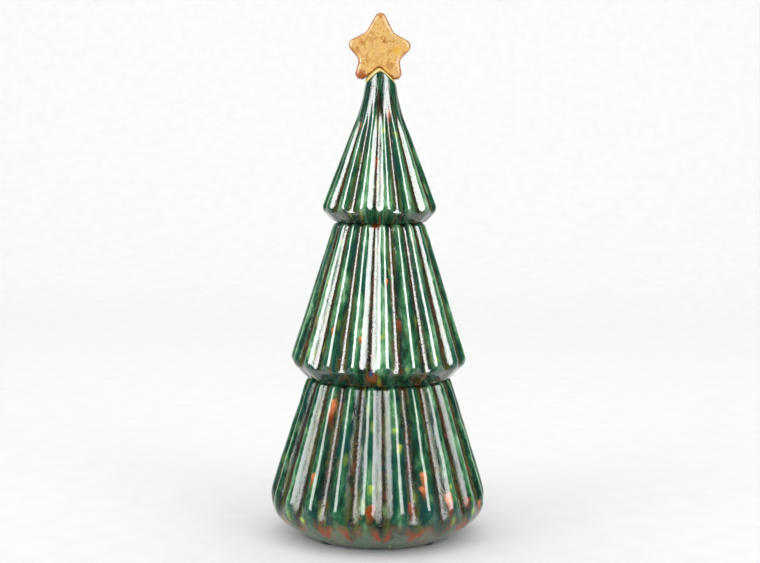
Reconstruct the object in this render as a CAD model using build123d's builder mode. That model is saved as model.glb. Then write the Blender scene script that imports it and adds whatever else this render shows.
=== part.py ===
from build123d import *
import os
from math import cos, radians, sin

# A table-top Christmas tree of glazed ceramic: three hollow fluted tiers, each cast by itself and luted
# to the next at its neck, with a star astride the tip. The front faces -Y and the tree stands on z = 0.

# Shared by the cast pieces
wall = 4.5              # clay behind the valleys, and the thickness of floors and seats
seam = 0.6              # fired slip between a collar and its socket
collar_length = 7.0     # drop of a collar into the tier below
collar_wall = 3.5
seat_flute_depth = 0.5  # what is left of the flutes where an underside ends
overrun = 1.0           # how far a cut runs past the face that it opens
flute_facets = 6        # flats over the crest of a flute
cavity_sides = 48       # flats around a cavity
lip_steps = 3           # spans in the rounding of a lip

# Felt pads
pad_count = 4
pad_diameter = 10.0
pad_thickness = 1.5

# Bottom tier, heights from the foot ring
bottom_flutes = 22
bottom_turn = 11.2             # degrees from the front to the first crest, to the right
foot_radius = 44.0
foot_ring_width = 12.0
foot_recess = 2.0
foot_flute_depth = 0.3         # the flutes have all but faded where the bowl meets the foot
vent_diameter = 8.0
bottom_corner_radius = 65.8    # where slope and bowl would meet without the rounding
bottom_corner_rise = 13.1
bottom_lip_round = 17.0
bottom_neck_radius = 41.5
bottom_tier_height = 89.9
bottom_lip_flute_depth = 3.2
bottom_neck_flute_depth = 2.1

# Middle tier, heights from the seat on the bottom tier
middle_flutes = 19
middle_turn = 3.5
middle_lip_overhang = 10.0     # how far the lip stands out past the neck below it
middle_lip_rise = 10.2
middle_lip_round = 5.0
middle_neck_radius = 26.3
middle_tier_height = 89.6
middle_lip_flute_depth = 3.1
middle_neck_flute_depth = 1.5

# Top tier, heights from the seat on the middle tier
top_flutes = 15
top_turn = 6.8
top_lip_overhang = 7.5
top_lip_rise = 7.5
top_lip_round = 5.0
top_neck_radius = 8.8
top_tier_height = 79.5
top_neck_flute_depth = 0.25
top_lip_flute_depth = 2.6
flare_length = 27.5            # curved stretch below the neck, where the flutes fade out
flare_radius = 16.6
flare_flute_depth = 1.5
flare_steps = 3
flare_slope_share = 0.4        # how much of the flare's growth is straight, the rest is curved
tip_eave_rise = 1.1            # wall at the sides of the tip, below the ridge that the star's legs straddle

# Star, to its sharp corners before rounding: reaches from the axis, rises and drops from the centre
star_top_rise = 22.6
star_shoulder_reach = 7.5      # corners above the arms
star_shoulder_rise = 9.6
star_arm_reach = 19.8
star_arm_rise = 2.5
star_hip_reach = 11.9          # corners below the arms
star_hip_drop = 6.4
star_leg_reach = 14.2
star_leg_drop = 20.4
star_notch_drop = 9.3          # corner between the legs
star_thickness = 11.0
star_tip_round = 2.6
star_arm_round = 3.2
star_waist_round = 5.0
star_notch_round = 4.0
star_rim_bevel = 1.4
saddle_crown = 1.6             # from the ridge up to the sharp corner of the star's notch
saddle_width = 17.0
saddle_height = 7.5

# Heights and places that follow
foot_height = pad_thickness
lower_seat = foot_height + bottom_tier_height
upper_seat = lower_seat + middle_tier_height
neck_top = upper_seat + top_tier_height
tip_radius = top_neck_radius - top_neck_flute_depth
tip_pitch_share = (star_leg_drop - star_notch_drop) / star_leg_reach  # the ridge is as steep as the notch
eave = neck_top + tip_eave_rise
tip_top = eave + tip_pitch_share * tip_radius
middle_lip_radius = bottom_neck_radius + middle_lip_overhang
top_lip_radius = middle_neck_radius + top_lip_overhang
lower_socket_radius = bottom_neck_radius - bottom_neck_flute_depth - wall
upper_socket_radius = middle_neck_radius - middle_neck_flute_depth - wall


def around(radius, angle):
    """A point at this angle from the front, to the right as the front is seen."""
    return (radius * sin(radians(angle)), -radius * cos(radians(angle)))


def flute_corners(flutes, stations):
    """Corners of the flute at the front: over its crest at every station, and on the axis at the ends."""
    corners = []
    for crest_radius, height, depth in stations:
        for corner in range(flute_facets + 1):
            across_share = 2 * corner / flute_facets - 1
            radius = crest_radius - depth * across_share**2
            corners.append((*around(radius, across_share * 180 / flutes), height))
    for crest_radius, height, depth in (stations[0], stations[-1]):
        corners.append((0, 0, height))
    return corners


def fluted_body(flutes, turn, stations):
    """Adds a ring of flutes that meet in sharp valleys, through (crest radius, height, depth) stations."""
    with PolarLocations(0, flutes, start_angle=turn):
        ConvexPolyhedron(flute_corners(flutes, stations))


def lip_stations(above, corner, below, rounding, depth):
    """Stations around a lip. The crests curve in over valleys that run straight on, so the flutes die out."""
    crest_line = FilletPolyline(above, corner, below, radius=rounding)
    bend = crest_line.edges().filter_by(GeomType.CIRCLE)[0]
    places = [bend @ (step / lip_steps) for step in range(lip_steps + 1)]
    places.sort(key=lambda place: -place.Y)
    sweep = bend.length / rounding
    depths = [depth - rounding * (1 - cos(sweep * step / lip_steps)) for step in range(lip_steps + 1)]
    return [(place.X, place.Y, max(left, seat_flute_depth)) for place, left in zip(places, depths)]


def cavity_corners(*outline):
    """Corners of a cavity's section, from the bottom up: the outline of the valleys, less the wall."""
    with BuildSketch(Plane.XZ) as profile:
        with BuildLine():
            Polyline(*outline, *[(-radius, height) for radius, height in reversed(outline)], close=True)
        make_face()
        offset(amount=-wall, kind=Kind.INTERSECTION, mode=Mode.REPLACE)
    corners = profile.sketch.vertices().filter_by(lambda corner: corner.X > 0).sort_by(Axis.Z)
    return [(corner.X, corner.Z) for corner in corners]


def hollow(corners):
    """Takes a convex cavity out of a body, around the axis through these corners."""
    sides = [360 * side / cavity_sides for side in range(cavity_sides)]
    rims = [(*around(radius, side), height) for radius, height in corners for side in sides]
    ConvexPolyhedron(rims, mode=Mode.SUBTRACT)


def socket(radius, height):
    """Opens the neck down into the cavity, for the collar of the tier above."""
    with Locations((0, 0, height + overrun)):
        Cylinder(
            radius,
            wall + 2 * overrun,
            align=(Align.CENTER, Align.CENTER, Align.MAX),
            mode=Mode.SUBTRACT,
        )


def collar(radius, height):
    """Adds the collar under a seat and bores it up into the cavity."""
    with Locations((0, 0, height - collar_length)):
        Cylinder(radius, collar_length, align=(Align.CENTER, Align.CENTER, Align.MIN))
    with Locations((0, 0, height - collar_length - overrun)):
        Cylinder(
            radius - collar_wall,
            collar_length + wall + 2 * overrun,
            align=(Align.CENTER, Align.CENTER, Align.MIN),
            mode=Mode.SUBTRACT,
        )


def save(piece, name):
    """Labels a finished piece and writes it."""
    piece.label = name
    export_step(piece, f"parts/{name}.step")


os.makedirs("parts", exist_ok=True)

# Bottom tier: the slope, the rounding of the base and the bowl down to the foot ring
bottom_stations = [
    (bottom_neck_radius, lower_seat, bottom_neck_flute_depth),
    *lip_stations(
        (bottom_neck_radius, lower_seat),
        (bottom_corner_radius, foot_height + bottom_corner_rise),
        (foot_radius, foot_height),
        bottom_lip_round,
        bottom_lip_flute_depth,
    ),
    (foot_radius, foot_height, foot_flute_depth),
]
bottom_cavity = cavity_corners(
    (foot_radius, foot_height + foot_recess),
    (bottom_corner_radius - bottom_lip_flute_depth, foot_height + bottom_corner_rise),
    (bottom_neck_radius - bottom_neck_flute_depth, lower_seat),
)

with BuildPart() as bottom_tier:
    fluted_body(bottom_flutes, bottom_turn, bottom_stations)
    hollow(bottom_cavity)
    socket(lower_socket_radius, lower_seat)
    with Locations((0, 0, foot_height)):
        Cylinder(
            foot_radius - foot_ring_width,
            foot_recess,
            align=(Align.CENTER, Align.CENTER, Align.MIN),
            mode=Mode.SUBTRACT,
        )
        Cylinder(
            vent_diameter / 2,
            foot_recess + wall + overrun,
            align=(Align.CENTER, Align.CENTER, Align.MIN),
            mode=Mode.SUBTRACT,
        )
save(bottom_tier.part, "bottom_tier")

# Middle tier: its underside narrows to the neck below, and a collar drops into the socket there
middle_stations = [
    (middle_neck_radius, upper_seat, middle_neck_flute_depth),
    *lip_stations(
        (middle_neck_radius, upper_seat),
        (middle_lip_radius, lower_seat + middle_lip_rise),
        (bottom_neck_radius, lower_seat),
        middle_lip_round,
        middle_lip_flute_depth,
    ),
    (bottom_neck_radius, lower_seat, seat_flute_depth),
]
middle_cavity = cavity_corners(
    (bottom_neck_radius - seat_flute_depth, lower_seat),
    (middle_lip_radius - middle_lip_flute_depth, lower_seat + middle_lip_rise),
    (middle_neck_radius - middle_neck_flute_depth, upper_seat),
)

with BuildPart() as middle_tier:
    fluted_body(middle_flutes, middle_turn, middle_stations)
    hollow(middle_cavity)
    collar(lower_socket_radius - seam, lower_seat)
    socket(upper_socket_radius, upper_seat)
save(middle_tier.part, "middle_tier")

# Top tier: a straight fluted skirt below a flared neck, whose flutes fade out under a ridged tip
flare_end = neck_top - flare_length


def flare_station(share):
    """A station in the flare, from the neck at 0 to the skirt at 1."""
    spread = flare_slope_share * share + (1 - flare_slope_share) * share**2
    return (
        top_neck_radius + (flare_radius - top_neck_radius) * spread,
        neck_top - flare_length * share,
        top_neck_flute_depth + (flare_flute_depth - top_neck_flute_depth) * share,
    )


flare_stations = [flare_station(step / flare_steps) for step in range(flare_steps + 1)]
skirt_stations = [
    flare_stations[-1],
    *lip_stations(
        (flare_radius, flare_end),
        (top_lip_radius, upper_seat + top_lip_rise),
        (middle_neck_radius, upper_seat),
        top_lip_round,
        top_lip_flute_depth,
    ),
    (middle_neck_radius, upper_seat, seat_flute_depth),
]
top_cavity = cavity_corners(
    (middle_neck_radius - seat_flute_depth, upper_seat),
    (top_lip_radius - top_lip_flute_depth, upper_seat + top_lip_rise),
    (flare_radius - flare_flute_depth, flare_end),
    (top_neck_radius, neck_top),
)

with BuildPart() as tip:
    with BuildSketch(Plane.XZ):
        with BuildLine():
            Polyline(
                (tip_radius, neck_top),
                (tip_radius, eave),
                (0, tip_top),
                (-tip_radius, eave),
                (-tip_radius, neck_top),
                close=True,
            )
        make_face()
    extrude(amount=tip_radius, both=True)
    with Locations((0, 0, neck_top)):
        Cylinder(
            tip_radius,
            tip_top - neck_top,
            align=(Align.CENTER, Align.CENTER, Align.MIN),
            mode=Mode.INTERSECT,
        )

with BuildPart() as top_tier:
    fluted_body(top_flutes, top_turn, skirt_stations)
    for upper, lower in zip(flare_stations, flare_stations[1:]):
        fluted_body(top_flutes, top_turn, [upper, lower])
    hollow(top_cavity[:-1])
    hollow(top_cavity[-2:])
    collar(upper_socket_radius - seam, upper_seat)
    add(tip.part)
save(top_tier.part, "top_tier")

# Fired slip around each collar, as deep as the socket's wall
for name, radius, height in (
    ("lower_luting_ring", lower_socket_radius, lower_seat),
    ("upper_luting_ring", upper_socket_radius, upper_seat),
):
    with BuildPart() as luting_ring:
        with BuildSketch(Plane.XY.offset(height)):
            Circle(radius)
            Circle(radius - seam, mode=Mode.SUBTRACT)
        extrude(amount=-wall)
    save(luting_ring.part, name)

# Star: one plate with rounded points and bevelled rims, whose legs stand either side of the tip
star_centre = tip_top + saddle_crown + star_notch_drop

right_corners = [
    ((star_shoulder_reach, star_shoulder_rise), star_waist_round),
    ((star_arm_reach, star_arm_rise), star_arm_round),
    ((star_hip_reach, -star_hip_drop), star_waist_round),
    ((star_leg_reach, -star_leg_drop), star_tip_round),
]
left_corners = [((-reach, rise), rounding) for (reach, rise), rounding in reversed(right_corners)]
star_corners = [
    ((0, star_top_rise), star_tip_round),
    *right_corners,
    ((0, -star_notch_drop), star_notch_round),
    *left_corners,
]


def star_outline():
    """The star's rounded outline, around its centre."""
    FilletPolyline(
        *[corner for corner, rounding in star_corners],
        radius=[rounding for corner, rounding in star_corners],
        close=True,
    )


def star_plane(depth):
    """The upright plane through the star's centre, this far behind it."""
    return Plane((0, depth, star_centre), x_dir=(1, 0, 0), z_dir=(0, -1, 0))


with BuildPart() as star:
    with BuildSketch(star_plane(star_thickness / 2)):
        with BuildLine():
            star_outline()
        make_face()
    extrude(amount=star_thickness)
    chamfer(star.faces().filter_by(Axis.Y).edges(), star_rim_bevel)
save(star.part, "star")

# Saddle: the bead that fills the star's notch down to the tip, between the bevelled rims
saddle_thickness = star_thickness - 2 * star_rim_bevel
with BuildPart() as star_saddle:
    with BuildSketch(star_plane(saddle_thickness / 2)):
        with Locations((0, -star_notch_drop)):
            Rectangle(saddle_width, saddle_height, align=(Align.CENTER, Align.MAX))
        with BuildLine():
            star_outline()
        make_face(mode=Mode.SUBTRACT)
    extrude(amount=saddle_thickness)
    add(top_tier.part, mode=Mode.SUBTRACT)
save(star_saddle.part, "star_saddle")

# Felt pads, evenly around the middle of the foot ring
pad_circle = foot_radius - foot_ring_width / 2
for pad in range(pad_count):
    with BuildPart() as felt_pad:
        with Locations(around(pad_circle, 360 * (pad + 0.5) / pad_count)):
            Cylinder(pad_diameter / 2, pad_thickness, align=(Align.CENTER, Align.CENTER, Align.MIN))
    save(felt_pad.part, f"felt_pad_{pad + 1}")
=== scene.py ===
"""A glazed ceramic Christmas tree: three fluted tiers, a gold star on a bead, and felt pads."""
import math
from types import SimpleNamespace

import bmesh
import bpy
from bpy.props import FloatProperty, FloatVectorProperty, IntProperty, PointerProperty
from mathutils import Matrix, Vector


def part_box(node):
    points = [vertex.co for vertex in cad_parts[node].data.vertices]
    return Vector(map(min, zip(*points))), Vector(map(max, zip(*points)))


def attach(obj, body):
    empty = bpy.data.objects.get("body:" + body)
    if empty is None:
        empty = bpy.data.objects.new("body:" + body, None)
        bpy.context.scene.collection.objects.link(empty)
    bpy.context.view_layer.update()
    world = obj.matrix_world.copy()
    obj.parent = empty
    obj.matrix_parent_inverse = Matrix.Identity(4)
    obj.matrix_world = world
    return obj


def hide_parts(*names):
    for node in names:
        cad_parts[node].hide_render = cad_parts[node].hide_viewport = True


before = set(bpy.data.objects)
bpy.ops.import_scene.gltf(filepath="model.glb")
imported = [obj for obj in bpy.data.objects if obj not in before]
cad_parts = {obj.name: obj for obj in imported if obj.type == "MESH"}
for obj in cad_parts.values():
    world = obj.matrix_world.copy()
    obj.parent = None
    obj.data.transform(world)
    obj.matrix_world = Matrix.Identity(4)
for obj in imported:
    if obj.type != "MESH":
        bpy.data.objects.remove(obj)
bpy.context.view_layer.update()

bl_info = {
    "name": "Glazed Ceramic Tree",
    "version": (1, 0, 0),
    "blender": (4, 5, 0),
    "location": "View3D > Sidebar > Ceramic Tree",
    "description": "Models a fluted ceramic tree in three tiers, with its star, bead, pads and studio",
    "category": "Object",
}

MM = 0.001

# Two places closer than this are taken for one
NEAR = 0.01 * MM

# Heights and radii that the frame gives
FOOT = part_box("bottom_tier")[0].z
LOWER_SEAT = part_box("bottom_tier")[1].z
UPPER_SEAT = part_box("middle_tier")[1].z
TIP_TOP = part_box("top_tier")[1].z
LOWER_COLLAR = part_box("middle_tier")[0].z
UPPER_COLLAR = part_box("top_tier")[0].z
LOWER_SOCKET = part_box("lower_luting_ring")[1].x
UPPER_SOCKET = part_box("upper_luting_ring")[1].x
LOWER_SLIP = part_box("lower_luting_ring")[0].z
UPPER_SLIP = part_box("upper_luting_ring")[0].z

# Columns of a flute, counted from its crest: how much of the depth each control column falls
COLUMNS = 6
COLUMN_SHARES = (-0.08, 0.16, 0.80, 1.14)

# Rings around a lip, and where the rings on the slope above it lie
LIP_STEPS = 7
SLOPE_SHARES = (0.28, 0.52, 0.76)

# Where the glaze of a plain wall counts as lying on a flute: 0 is the crest and 1 the valley
FLANK = 0.42

# Rounded ends of the flutes under a seat: drop, tuck and times the depth
FINGER_TIPS = (
    (0.0 * MM, 2.2 * MM, 1.2),
    (0.5 * MM, 1.0 * MM, 1.5),
    (1.2 * MM, 0.35 * MM, 1.4),
    (2.6 * MM, 0.0 * MM, 1.1),
)

# Runs of glaze that show from the front: kind, degrees to the right, millimetres up, half width in
# millimetres and how short the tail is
BOTTOM_RUNS = (
    ("iron", -34.7, 82.0, 2.4, 0.12), ("iron", -39.0, 42.5, 1.9, 0.20), ("iron", 26.3, 45.0, 2.2, 0.15),
    ("iron", 25.0, 37.5, 1.9, 0.25), ("iron", 41.0, 32.0, 2.4, 0.15), ("iron", -73.0, 31.0, 2.0, 0.30),
    ("yellow", 11.2, 69.0, 1.9, 0.30), ("yellow", 13.0, 60.0, 2.2, 0.25), ("yellow", -4.0, 39.0, 2.2, 0.20),
    ("yellow", 43.5, 36.5, 1.6, 0.40), ("yellow", -42.5, 18.0, 2.6, 0.40), ("yellow", 60.0, 20.0, 2.6, 0.40),
    ("rust", -4.0, 27.5, 3.2, 0.16), ("rust", 18.0, 29.0, 2.8, 0.14), ("rust", 56.0, 27.0, 2.5, 0.20),
)
MIDDLE_RUNS = (
    ("rust", -4.5, 182.5, 3.2, 0.20), ("rust", -5.0, 97.0, 4.2, 0.40), ("rust", 15.3, 127.0, 1.9, 0.15),
    ("rust", -54.0, 128.0, 1.6, 0.10), ("iron", -12.9, 119.0, 1.6, 0.30), ("iron", 6.3, 150.0, 1.4, 0.30),
    ("iron", -34.7, 123.0, 1.2, 0.20), ("yellow", 2.3, 120.0, 1.4, 0.30), ("yellow", 40.3, 107.0, 1.8, 0.40),
    ("yellow", -52.0, 148.0, 1.3, 0.30), ("cobalt", -5.0, 100.5, 1.7, 0.40),
)
TOP_RUNS = (
    ("yellow", 6.0, 233.5, 1.3, 0.20), ("yellow", 30.4, 231.5, 1.5, 0.20), ("rust", -5.0, 217.0, 1.5, 0.09),
    ("iron", 21.5, 244.0, 1.4, 0.15), ("iron", -50.0, 237.0, 1.2, 0.15), ("cobalt", -13.5, 247.0, 0.8, 0.50),
    ("cobalt", -14.0, 224.0, 0.8, 0.50), ("cobalt", 8.0, 242.0, 0.8, 0.50), ("umber", -5.0, 254.0, 2.2, 0.13),
    ("umber", 4.0, 250.0, 2.4, 0.12), ("umber", -34.0, 259.0, 1.9, 0.12), ("umber", 34.0, 252.0, 1.8, 0.14),
)

# Small runs at random: kind, cells to a metre and share of the cells that have one
SMALL_RUNS = (("yellow", 150.0, 0.14), ("iron", 140.0, 0.10), ("cobalt", 170.0, 0.16), ("rust", 120.0, 0.14))

# Patches on the star: colour, place right of and above its centre and reach in millimetres, and strength
STAR_PATCHES = (
    ("amber", -10.6, -15.8, 4.4, 0.85),
    ("saffron", 10.4, -1.2, 3.4, 0.7),
    ("amber", 3.6, 3.6, 1.6, 0.45),
    ("amber", -13.2, -2.2, 3.0, 0.45),
    ("bronze", 6.0, -10.4, 3.2, 0.6),
    ("amber", 14.2, -2.6, 2.2, 0.4),
    ("amber", 12.2, -17.2, 1.8, 0.6),
)


def srgb(red, green, blue):
    """A display colour of 0 to 255 as linear light."""
    shares = [channel / 255 for channel in (red, green, blue)]
    return tuple(share / 12.92 if share <= 0.04045 else ((share + 0.055) / 1.055) ** 2.4 for share in shares)


def length(label, description, millimetres):
    """A length that a user can set."""
    return FloatProperty(
        name=label, description=description, default=millimetres * MM, min=0, unit="LENGTH", precision=5
    )


def angle(label, description, degrees):
    """An angle that a user can set."""
    return FloatProperty(name=label, description=description, default=math.radians(degrees), unit="ROTATION")


def count(label, description, number):
    """A number of repeats that a user can set."""
    return IntProperty(name=label, description=description, default=number, min=3)


def share(label, description, part):
    """A share from 0 to 1 that a user can set."""
    return FloatProperty(name=label, description=description, default=part, min=0, max=1, subtype="FACTOR")


def power(label, description, watts):
    """A light's power that a user can set."""
    return FloatProperty(name=label, description=description, default=watts, unit="POWER")


def colour(label, description, red, green, blue):
    """A colour that a user can set."""
    return FloatVectorProperty(
        name=label, description=description, default=srgb(red, green, blue), size=3, min=0, max=1,
        subtype="COLOR",
    )


class BottomTierSizes(bpy.types.PropertyGroup):
    """Sizes of the bottom tier"""

    flutes: count("Flutes", "Flutes around the tier", 22)
    turn: angle("Turn", "From the front to the first crest, to the right", 11.2)
    neck_radius: length("Neck radius", "Crests at the seat of the middle tier", 41.5)
    neck_depth: length("Neck depth", "Depth of the flutes at the neck", 2.1)
    corner_radius: length("Corner radius", "Where slope and bowl would meet", 65.8)
    corner_rise: length("Corner rise", "Height of that corner above the foot", 13.1)
    lip_round: length("Lip round", "Rounding between slope and bowl", 17.0)
    lip_depth: length("Lip depth", "Depth of the flutes above the rounding", 3.2)
    foot_radius: length("Foot radius", "Outside of the foot ring", 44.0)
    foot_ring: length("Foot ring", "Width of the foot ring", 12.0)
    foot_recess: length("Foot recess", "Depth of the hollow inside the foot ring", 2.0)
    vent_radius: length("Vent radius", "Hole in the floor", 4.0)


class MiddleTierSizes(bpy.types.PropertyGroup):
    """Sizes of the middle tier"""

    flutes: count("Flutes", "Flutes around the tier", 19)
    turn: angle("Turn", "From the front to the first crest, to the right", 3.5)
    neck_radius: length("Neck radius", "Crests at the seat of the top tier", 26.3)
    neck_depth: length("Neck depth", "Depth of the flutes at the neck", 1.5)
    lip_overhang: length("Lip overhang", "How far the lip stands out past the neck below", 10.0)
    lip_rise: length("Lip rise", "Height of the lip's corner above the seat", 10.2)
    lip_round: length("Lip round", "Rounding of the lip", 5.0)
    lip_depth: length("Lip depth", "Depth of the flutes above the lip", 3.1)


class TopTierSizes(bpy.types.PropertyGroup):
    """Sizes of the top tier"""

    flutes: count("Flutes", "Flutes around the tier", 15)
    turn: angle("Turn", "From the front to the first crest, to the right", 6.8)
    neck_radius: length("Neck radius", "Neck under the tip", 8.8)
    height: length("Height", "Seat up to the end of the neck", 79.5)
    ridge_round: length("Ridge round", "Rounding of the tip's ridge", 1.2)
    ridge_drop: length("Ridge drop", "Clay that the glaze leaves short at the ridge", 0.8)
    hip_slope: share("Hip slope", "How steeply the ridge falls away at its ends", 0.6)
    flare_length: length("Flare length", "Curved stretch below the neck", 27.5)
    flare_radius: length("Flare radius", "Crests at the end of the flare", 16.6)
    flare_depth: length("Flare depth", "Depth of the flutes at the end of the flare", 1.5)
    flare_slope: share("Flare slope", "Share of the flare's growth that is straight", 0.4)
    lip_overhang: length("Lip overhang", "How far the lip stands out past the neck below", 7.5)
    lip_rise: length("Lip rise", "Height of the lip's corner above the seat", 7.5)
    lip_round: length("Lip round", "Rounding of the lip", 5.0)
    lip_depth: length("Lip depth", "Depth of the flutes above the lip", 2.6)


class CastSizes(bpy.types.PropertyGroup):
    """Sizes that the three tiers share"""

    wall: length("Wall", "Clay behind the valleys", 4.5)
    seam: length("Seam", "Fired slip around a collar", 0.6)
    collar_wall: length("Collar wall", "Wall of a collar", 3.5)
    seat_depth: length("Seat depth", "Wave that is left in an underside's edge", 0.8)
    ripple: length("Ripple", "Wave that is left around a lip", 0.45)
    waver: length("Waver", "How far hand work and firing move the widest wall", 1.0)
    waver_size: length("Waver size", "Size of that movement", 14.0)


class StarSizes(bpy.types.PropertyGroup):
    """Sizes of the star and its bead"""

    top_rise: length("Top rise", "Centre up to the sharp top point", 23.5)
    shoulder_reach: length("Shoulder reach", "Axis to the corners above the arms", 7.9)
    shoulder_rise: length("Shoulder rise", "Centre up to those corners", 8.8)
    arm_reach: length("Arm reach", "Axis to the sharp arm points", 20.0)
    arm_rise: length("Arm rise", "Centre up to the arm points", 2.5)
    hip_reach: length("Hip reach", "Axis to the corners below the arms", 11.4)
    hip_drop: length("Hip drop", "Centre down to those corners", 6.4)
    leg_reach: length("Leg reach", "Axis to the sharp leg points", 14.8)
    leg_drop: length("Leg drop", "Centre down to the leg points", 22.7)
    left_leg: length("Left leg", "How much longer the left leg is", 1.5)
    notch_drop: length("Notch drop", "Centre down to the corner between the legs", 10.1)
    lean: angle("Lean", "Turn of the star to the right", 1.2)
    crown: length("Crown", "Ridge to the corner between the legs", 1.6)
    thickness: length("Thickness", "Front to back", 11.0)
    shift: length("Shift", "Centre of the star to the left of the tip", 0.95)
    tip_round: length("Tip round", "Rounding of the top and leg points", 3.2)
    arm_round: length("Arm round", "Rounding of the arm points", 3.6)
    waist_round: length("Waist round", "Rounding of the corners beside the arms", 5.0)
    notch_round: length("Notch round", "Rounding of the corner between the legs", 2.4)
    rim_round: length("Rim round", "Rounding of the rims", 2.3)
    bead_depth: length("Bead depth", "Half the bead, front to back", 7.6)
    bead_droop: length("Bead droop", "How far the bead's front and back sag", 0.6)
    bead_reach: length("Bead reach", "Axis to the bead's right end", 8.4)
    bead_left: length("Bead left", "Axis to the bead's left end", 9.0)


class GlazeColours(bpy.types.PropertyGroup):
    """Colours of the glazes and of the felt"""

    # Shade green is the thickest glaze and also the painted shade under the lips of the middle and top tiers
    shade_green: colour("Shade green", "Glaze at its thickest", 10, 27, 19)
    deep_green: colour("Deep green", "Glaze where it lies thick", 17, 52, 36)
    leaf_green: colour("Leaf green", "Glaze on the flanks", 35, 90, 59)
    pale_green: colour("Pale green", "Glaze where it thins", 76, 132, 88)
    # Mint is the thin glaze over a crest and also a painted glow beside the crest highlights
    mint_and_glow: colour("Mint", "Glaze where it runs thin over a crest", 146, 194, 152)
    # Celadon is thin glaze on the base with a painted reflection of the pale floor
    celadon_and_floor_sheen: colour("Celadon", "Thin glaze over the rounded base", 88, 104, 88)
    teal: colour("Teal", "Blue-green drifts", 24, 84, 76)
    olive: colour("Olive", "Yellow-green edges of the pooled glaze", 84, 94, 28)
    umber: colour("Umber", "Pooled glaze in the valleys", 22, 18, 10)
    bark: colour("Bark", "Brown glaze beside the valleys", 54, 40, 18)
    sienna: colour("Sienna", "Reddish glaze in the valleys", 98, 48, 20)
    rust: colour("Rust", "Iron runs", 146, 58, 16)
    apricot: colour("Apricot", "Heads of the iron blotches", 228, 134, 80)
    lime: colour("Lime", "Yellow-green blotches", 168, 194, 74)
    navy: colour("Navy", "Cobalt marks", 22, 34, 98)
    honey: colour("Honey", "Face of the star", 222, 176, 102)
    wheat: colour("Wheat", "Pale mottling on the star", 229, 188, 120)
    saffron: colour("Saffron", "Yellow patches on the star", 234, 182, 62)
    bronze: colour("Bronze", "Brown mottling on the star", 186, 122, 54)
    amber: colour("Amber", "Rims of the star", 158, 74, 24)
    straw: colour("Straw", "Bead under the star", 252, 236, 156)
    felt: colour("Felt", "Pads", 58, 56, 52)


class StudioSizes(bpy.types.PropertyGroup):
    """Camera and lights"""

    camera_distance: length("Camera distance", "From the axis to the camera", 753.0)
    camera_height: length("Camera height", "Above the floor", 208.3)
    camera_side: length("Camera side", "Right of the axis", 0.4)
    camera_tilt: angle("Camera tilt", "Downwards", 4.68)
    camera_roll: angle("Camera roll", "Leans the view", 0.4)
    left_turn: angle("Left turn", "Left lights, from the camera's side of the axis", 53.0)
    right_turn: angle("Right turn", "Right lights, from the camera's side of the axis", 45.0)
    strip_distance: length("Strip distance", "From the axis to a strip light", 1150.0)
    strip_width: length("Strip width", "Width of a strip light, in the gloss", 630.0)
    key_width: length("Key width", "Width of a soft light", 600.0)
    strip_height: length("Strip height", "Height of a strip light", 1350.0)
    strip_power: power("Strip power", "Gloss of each strip light", 35)
    key_power: power("Key power", "Power of each soft light", 5)


GROUPS = {
    "tree_bottom": BottomTierSizes,
    "tree_middle": MiddleTierSizes,
    "tree_top": TopTierSizes,
    "tree_cast": CastSizes,
    "tree_star": StarSizes,
    "tree_glaze": GlazeColours,
    "tree_studio": StudioSizes,
}


# Modelling

def start_piece():
    """Leaves nothing selected, in object mode."""
    if bpy.context.object and bpy.context.object.mode != "OBJECT":
        bpy.ops.object.mode_set(mode="OBJECT")
    bpy.ops.object.select_all(action="DESELECT")


def start_ring(vertices, radius, location, rotation=(0, 0, 0), fill="NGON"):
    """Starts a piece from a ring of selected vertices, in edit mode."""
    start_piece()
    bpy.ops.mesh.primitive_circle_add(
        vertices=vertices, radius=radius, location=location, rotation=rotation, fill_type=fill
    )
    bpy.ops.object.transform_apply(location=True, rotation=True, scale=True)
    bpy.ops.object.mode_set(mode="EDIT")
    bpy.ops.mesh.select_mode(type="VERT")
    bpy.ops.mesh.select_all(action="SELECT")


def extrude(x, y, z):
    """Draws the selection out by this much."""
    bpy.ops.mesh.extrude_region_move(TRANSFORM_OT_translate={"value": (x, y, z)})


def edit_mesh():
    """The mesh in edit mode."""
    return bmesh.from_edit_mesh(bpy.context.object.data)


def choose(mesh, vertices):
    """Selects these vertices and the edges and faces between them."""
    bpy.ops.mesh.select_all(action="DESELECT")
    for vertex in vertices:
        vertex.select_set(True)
    mesh.select_flush(True)
    bmesh.update_edit_mesh(bpy.context.object.data)


def choose_parts(kind, wanted):
    """Selects the edges or the faces that a test picks."""
    bpy.ops.mesh.select_mode(type=kind)
    bpy.ops.mesh.select_all(action="DESELECT")
    mesh = edit_mesh()
    for part in mesh.edges if kind == "EDGE" else mesh.faces:
        if wanted(part):
            part.select_set(True)
    bmesh.update_edit_mesh(bpy.context.object.data)


def level(edge, axis):
    """Whether an edge's two ends are level along an axis."""
    return abs(edge.verts[0].co[axis] - edge.verts[1].co[axis]) < NEAR


def face_outward():
    """Selects the whole mesh and turns its faces outward."""
    bpy.ops.mesh.select_all(action="SELECT")
    bpy.ops.mesh.normals_make_consistent(inside=False)


def apply_modifier(kind, **settings):
    """Adds a modifier to the active object and applies it."""
    piece = bpy.context.object
    modifier = piece.modifiers.new(kind.title(), kind)
    for name, value in settings.items():
        setattr(modifier, name, value)
    bpy.ops.object.modifier_apply(modifier=modifier.name)


def smooth_form():
    """Leaves edit mode and subdivides the piece to a smooth form."""
    bpy.ops.object.mode_set(mode="OBJECT")
    apply_modifier("SUBSURF", levels=2, render_levels=2)


def finish_piece(name, node, material):
    """Names the active object, dresses it and lets it stand for its CAD node."""
    piece = bpy.context.object
    bpy.ops.object.mode_set(mode="OBJECT")
    bpy.ops.object.transform_apply(location=True, rotation=True, scale=True)
    piece.name = name
    piece.data.name = name
    piece.data.materials.clear()
    piece.data.materials.append(material)
    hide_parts(node)
    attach(piece, "root")


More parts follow.
